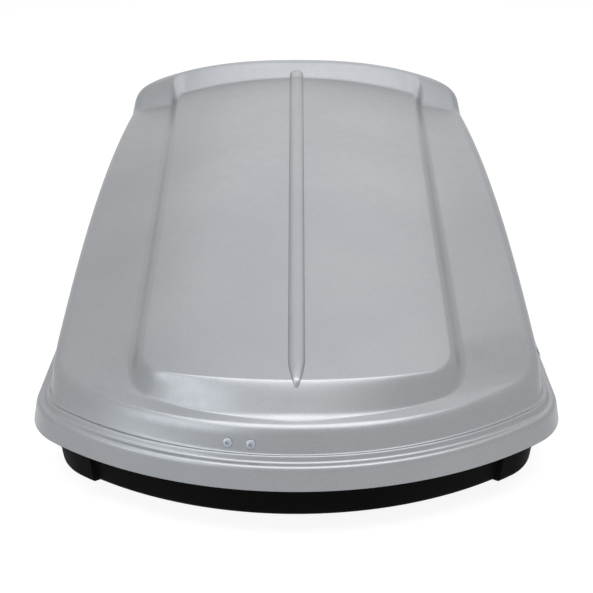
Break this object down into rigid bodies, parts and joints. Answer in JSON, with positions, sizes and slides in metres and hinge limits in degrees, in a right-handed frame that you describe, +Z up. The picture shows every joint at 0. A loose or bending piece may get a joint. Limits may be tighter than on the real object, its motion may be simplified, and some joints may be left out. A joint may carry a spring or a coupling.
{
  "type": "roof cargo box",
  "caption": "Rigid roof cargo box: a silver lid with a raised ribbed panel opens sideways on hinges over a black tray that U-bolts clamp to the crossbars.",
  "frame": {"origin": "middle of the tray's flat underside, where it meets the crossbars", "axes": "+X across the car to the hinge side, +Y from the nose to the tail, +Z up"},
  "size_m": [0.8995, 1.346, 0.4421],
  "materials": {
    "silver_plastic": "semi-gloss silver with a fine metallic fleck",
    "black_plastic": "black, lightly grained",
    "bright_steel": "bright zinc plate",
    "zinc_steel": "dull galvanised sheet",
    "black_metal": "black paint",
    "rail_alloy": "plain extruded",
    "rivet_alloy": "plain pop-rivet head",
    "lock_brass": "satin",
    "strap_webbing": "black woven webbing"
  },
  "bodies": {
    "base": {"base_tray": "black_plastic", "base_rail_left": "zinc_steel", "base_rail_right": "zinc_steel", "hinge_tray_leaf_nose": "bright_steel", "hinge_tray_leaf_middle": "bright_steel", "hinge_tray_leaf_tail": "bright_steel", "hinge_pin_nose": "bright_steel", "hinge_pin_middle": "bright_steel", "hinge_pin_tail": "bright_steel", "lock_housing": "black_plastic", "lock_bar_channel": "rail_alloy", "lifter_tray_bracket_nose": "zinc_steel", "lifter_tray_bracket_tail": "zinc_steel", "strap_nose": "strap_webbing", "strap_buckle_nose": "black_plastic", "strap_tail": "strap_webbing", "strap_buckle_tail": "black_plastic"},
    "lid": {"lid_shell": "silver_plastic", "lid_rivet_nose_left": "rivet_alloy", "lid_rivet_nose_right": "rivet_alloy", "lid_rivet_tail_left": "rivet_alloy", "lid_rivet_tail_right": "rivet_alloy", "lid_rail_lock_side": "rail_alloy", "lid_rail_hinge_side": "rail_alloy", "hinge_lid_leaf_nose": "bright_steel", "hinge_lid_leaf_middle": "bright_steel", "hinge_lid_leaf_tail": "bright_steel", "lid_striker_nose": "bright_steel", "lid_striker_middle": "bright_steel", "lid_striker_tail": "bright_steel", "lifter_lid_bracket_nose": "zinc_steel", "lifter_lid_bracket_tail": "zinc_steel"},
    "lock_core": {"lock_barrel": "lock_brass", "lock_key": "rail_alloy", "lock_cam": "zinc_steel"},
    "lock_bar": {"lock_bar": "bright_steel", "lock_hook_nose": "bright_steel", "lock_hook_middle": "bright_steel", "lock_hook_tail": "bright_steel"},
    "lifter_cylinder_nose": {"lifter_cylinder_nose": "black_metal"},
    "lifter_rod_nose": {"lifter_rod_nose": "bright_steel"},
    "lifter_cylinder_tail": {"lifter_cylinder_tail": "black_metal"},
    "lifter_rod_tail": {"lifter_rod_tail": "bright_steel"},
    "clamp_nose_left": {"u_bolt_nose_left": "bright_steel", "clamp_plate_nose_left": "zinc_steel"},
    "knob_nose_left_a": {"clamp_knob_nose_left_a": "black_plastic"},
    "knob_nose_left_b": {"clamp_knob_nose_left_b": "black_plastic"},
    "clamp_nose_right": {"u_bolt_nose_right": "bright_steel", "clamp_plate_nose_right": "zinc_steel"},
    "knob_nose_right_a": {"clamp_knob_nose_right_a": "black_plastic"},
    "knob_nose_right_b": {"clamp_knob_nose_right_b": "black_plastic"},
    "clamp_tail_left": {"u_bolt_tail_left": "bright_steel", "clamp_plate_tail_left": "zinc_steel"},
    "knob_tail_left_a": {"clamp_knob_tail_left_a": "black_plastic"},
    "knob_tail_left_b": {"clamp_knob_tail_left_b": "black_plastic"},
    "clamp_tail_right": {"u_bolt_tail_right": "bright_steel", "clamp_plate_tail_right": "zinc_steel"},
    "knob_tail_right_a": {"clamp_knob_tail_right_a": "black_plastic"},
    "knob_tail_right_b": {"clamp_knob_tail_right_b": "black_plastic"}
  },
  "joints": [
    {"name": "lid_hinge", "type": "hinge", "parent": "base", "child": "lid", "pos_m": [0.4495, 0, 0.053], "axis": [0, 1, 0], "range_deg": [0, 50]},
    {"name": "lock_turn", "type": "hinge", "parent": "base", "child": "lock_core", "pos_m": [-0.4, 0.08, 0.027], "axis": [1, 0, 0], "range_deg": [0, 90]},
    {"name": "lock_bar_slide", "type": "slide", "parent": "base", "child": "lock_bar", "axis": [0, 1, 0], "range_m": [0, 0.0226]},
    {"name": "lifter_swing_nose", "type": "hinge", "parent": "base", "child": "lifter_cylinder_nose", "pos_m": [0.25, -0.57, 0.03], "axis": [0, 1, 0], "range_deg": [0, 64.3]},
    {"name": "lifter_stroke_nose", "type": "slide", "parent": "lifter_cylinder_nose", "child": "lifter_rod_nose", "axis": [-0.9711, 0, 0.2385], "range_m": [0, 0.1359]},
    {"name": "lifter_swing_tail", "type": "hinge", "parent": "base", "child": "lifter_cylinder_tail", "pos_m": [0.25, 0.57, 0.03], "axis": [0, 1, 0], "range_deg": [0, 64.3]},
    {"name": "lifter_stroke_tail", "type": "slide", "parent": "lifter_cylinder_tail", "child": "lifter_rod_tail", "axis": [-0.9711, 0, 0.2385], "range_m": [0, 0.1359]},
    {"name": "clamp_slide_nose_left", "type": "slide", "parent": "base", "child": "clamp_nose_left", "axis": [0, 1, 0], "range_m": [-0.05, 0.05]},
    {"name": "knob_turn_nose_left_a", "type": "hinge", "parent": "clamp_nose_left", "child": "knob_nose_left_a", "pos_m": [-0.3, -0.394, 0.02], "axis": [0, 0, 1], "continuous": true},
    {"name": "knob_turn_nose_left_b", "type": "hinge", "parent": "clamp_nose_left", "child": "knob_nose_left_b", "pos_m": [-0.3, -0.306, 0.02], "axis": [0, 0, 1], "continuous": true},
    {"name": "clamp_slide_nose_right", "type": "slide", "parent": "base", "child": "clamp_nose_right", "axis": [0, 1, 0], "range_m": [-0.05, 0.05]},
    {"name": "knob_turn_nose_right_a", "type": "hinge", "parent": "clamp_nose_right", "child": "knob_nose_right_a", "pos_m": [0.3, -0.394, 0.02], "axis": [0, 0, 1], "continuous": true},
    {"name": "knob_turn_nose_right_b", "type": "hinge", "parent": "clamp_nose_right", "child": "knob_nose_right_b", "pos_m": [0.3, -0.306, 0.02], "axis": [0, 0, 1], "continuous": true},
    {"name": "clamp_slide_tail_left", "type": "slide", "parent": "base", "child": "clamp_tail_left", "axis": [0, 1, 0], "range_m": [-0.05, 0.05]},
    {"name": "knob_turn_tail_left_a", "type": "hinge", "parent": "clamp_tail_left", "child": "knob_tail_left_a", "pos_m": [-0.3, 0.306, 0.02], "axis": [0, 0, 1], "continuous": true},
    {"name": "knob_turn_tail_left_b", "type": "hinge", "parent": "clamp_tail_left", "child": "knob_tail_left_b", "pos_m": [-0.3, 0.394, 0.02], "axis": [0, 0, 1], "continuous": true},
    {"name": "clamp_slide_tail_right", "type": "slide", "parent": "base", "child": "clamp_tail_right", "axis": [0, 1, 0], "range_m": [-0.05, 0.05]},
    {"name": "knob_turn_tail_right_a", "type": "hinge", "parent": "clamp_tail_right", "child": "knob_tail_right_a", "pos_m": [0.3, 0.306, 0.02], "axis": [0, 0, 1], "continuous": true},
    {"name": "knob_turn_tail_right_b", "type": "hinge", "parent": "clamp_tail_right", "child": "knob_tail_right_b", "pos_m": [0.3, 0.394, 0.02], "axis": [0, 0, 1], "continuous": true}
  ],
  "couplings": [
    {"joint": "lock_turn", "follows": "lock_bar_slide", "rad_per_m": 69.42},
    {"joint": "lifter_swing_nose", "follows": "lid_hinge", "ratio": 1.2854},
    {"joint": "lifter_stroke_nose", "follows": "lid_hinge", "m_per_rad": 0.15554},
    {"joint": "lifter_swing_tail", "follows": "lid_hinge", "ratio": 1.2854},
    {"joint": "lifter_stroke_tail", "follows": "lid_hinge", "m_per_rad": 0.15554}
  ]
}
